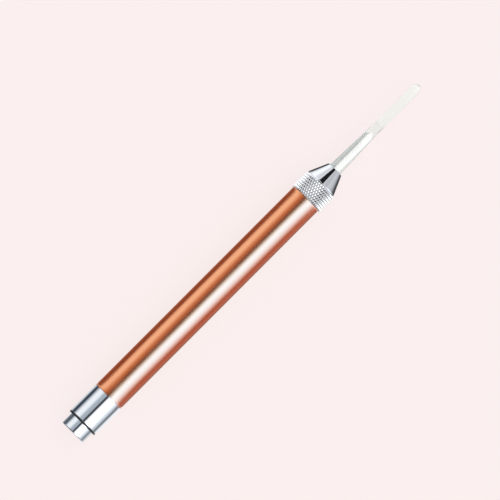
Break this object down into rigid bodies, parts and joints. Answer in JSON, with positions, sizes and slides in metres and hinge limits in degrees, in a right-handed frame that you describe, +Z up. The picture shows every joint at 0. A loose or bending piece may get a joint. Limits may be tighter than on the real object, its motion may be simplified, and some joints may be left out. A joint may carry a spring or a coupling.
{
  "type": "lighted ear pick",
  "caption": "Slim penlight ear pick: copper anodised barrel, chrome tail push button, knurled collar, cone nose and clear light-guide spoon.",
  "frame": {"origin": "on the surface that the pen lies on, under the middle of its length", "axes": "+X along the pen from its push button to the tip of its spoon, +Z up"},
  "size_m": [0.1428, 0.0108, 0.0108],
  "materials": {
    "copper_anodised": "copper-coloured anodised aluminium, satin gloss",
    "chrome": "polished chrome plate",
    "knurled_chrome": "chrome plate over a diamond knurl",
    "black_ring": "black nylon, slightly glossy",
    "clear_plastic": "clear moulded plastic light guide",
    "white_plastic": "white moulded nylon",
    "black_rubber": "black rubber",
    "brass": "turned and stamped brass",
    "spring_steel": "bright drawn wire",
    "cell_steel": "nickel-plated steel can",
    "lamp_epoxy": "clear cast epoxy"
  },
  "bodies": {
    "barrel": {"barrel_tube": "copper_anodised", "battery_sleeve": "white_plastic", "battery_cell_1": "cell_steel", "battery_cell_2": "cell_steel", "battery_cell_3": "cell_steel", "front_contact_spring": "spring_steel", "contact_rod": "brass", "spacer_tube": "white_plastic", "centre_contact": "brass", "led_holder": "white_plastic", "led_lamp": "lamp_epoxy", "anode_lead": "spring_steel", "cathode_lead": "spring_steel"},
    "spoon": {"ear_spoon": "clear_plastic", "tip_washer": "black_rubber"},
    "nose": {"knurled_collar": "knurled_chrome", "nose_cone": "chrome", "nose_seal_ring": "black_rubber"},
    "tail_rider": {"tail_seal_ring": "black_rubber", "battery_spring": "spring_steel"},
    "tail": {"tail_cap": "chrome", "black_bezel_ring": "black_ring", "switch_housing": "white_plastic", "switch_cover": "white_plastic", "centre_terminal": "brass", "ground_contact": "brass", "return_spring": "spring_steel"},
    "button": {"push_button": "chrome", "plunger": "white_plastic"},
    "rotor": {"latch_rotor": "white_plastic", "contact_bridge": "brass"}
  },
  "joints": [
    {"name": "nose_travel", "type": "slide", "parent": "barrel", "child": "spoon", "axis": [1, 0, 0], "range_m": [0, 0.00413]},
    {"name": "nose_turn", "type": "hinge", "parent": "spoon", "child": "nose", "pos_m": [0.0277, 0, 0.0054], "axis": [1, 0, 0], "range_deg": [0, 1980]},
    {"name": "tail_travel", "type": "slide", "parent": "barrel", "child": "tail_rider", "axis": [-1, 0, 0], "range_m": [0, 0.00413], "deforming": ["battery_spring"]},
    {"name": "tail_turn", "type": "hinge", "parent": "tail_rider", "child": "tail", "pos_m": [-0.0617, 0, 0.0054], "axis": [-1, 0, 0], "range_deg": [0, 1980]},
    {"name": "button_press", "type": "slide", "parent": "tail", "child": "button", "axis": [1, 0, 0], "range_m": [0, 0.0015], "stiffness_N_per_m": 400, "springref_m": -0.004, "deforming": ["return_spring"]},
    {"name": "rotor_step", "type": "hinge", "parent": "button", "child": "rotor", "pos_m": [-0.061, 0, 0.0054], "axis": [1, 0, 0], "range_deg": [-22.5, 0]}
  ],
  "couplings": [
    {"joint": "nose_turn", "follows": "nose_travel", "rad_per_m": 8377.5},
    {"joint": "tail_turn", "follows": "tail_travel", "rad_per_m": 8377.5},
    {"joint": "rotor_step", "follows": "button_press", "rad_per_m": -261.79}
  ]
}
